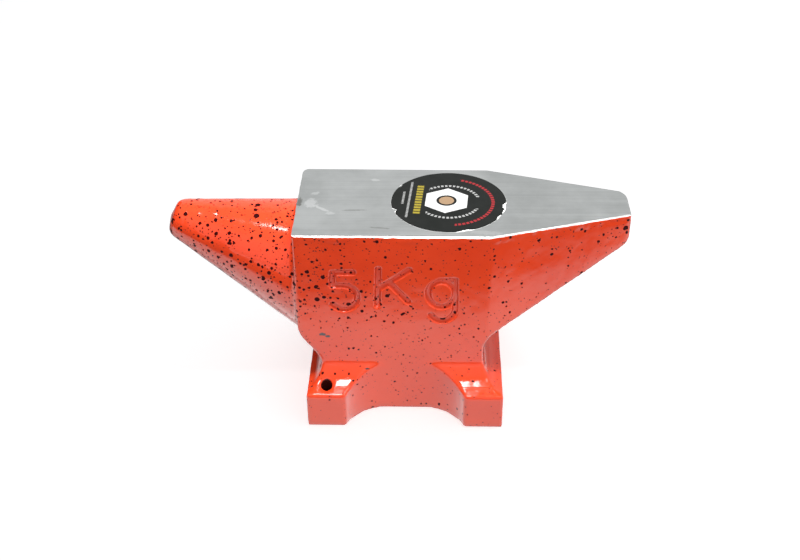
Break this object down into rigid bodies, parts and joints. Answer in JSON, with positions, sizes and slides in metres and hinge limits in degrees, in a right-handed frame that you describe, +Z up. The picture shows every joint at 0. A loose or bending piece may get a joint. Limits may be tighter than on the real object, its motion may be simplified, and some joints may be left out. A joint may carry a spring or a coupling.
{
  "type": "bench anvil",
  "caption": "Small cast bench anvil with a round tapered horn, a flat ground face, a narrowing square heel, a waisted body on splayed feet, and a round label on its face.",
  "frame": {"origin": "middle of the flat underside that the anvil stands on, centred between the feet", "axes": "+X along the face towards the square heel, -X towards the horn, +Y across the face, +Z up out of the working face"},
  "size_m": [0.2085, 0.0874, 0.0961],
  "materials": {
    "casting_paint": "glossy orange-red enamel with a fine black spatter over cast iron; the working face and its front edge are bare ground iron",
    "label_print": null
  },
  "bodies": {
    "root": {"anvil_casting": "casting_paint", "round_label": "label_print"}
  },
  "joints": []
}
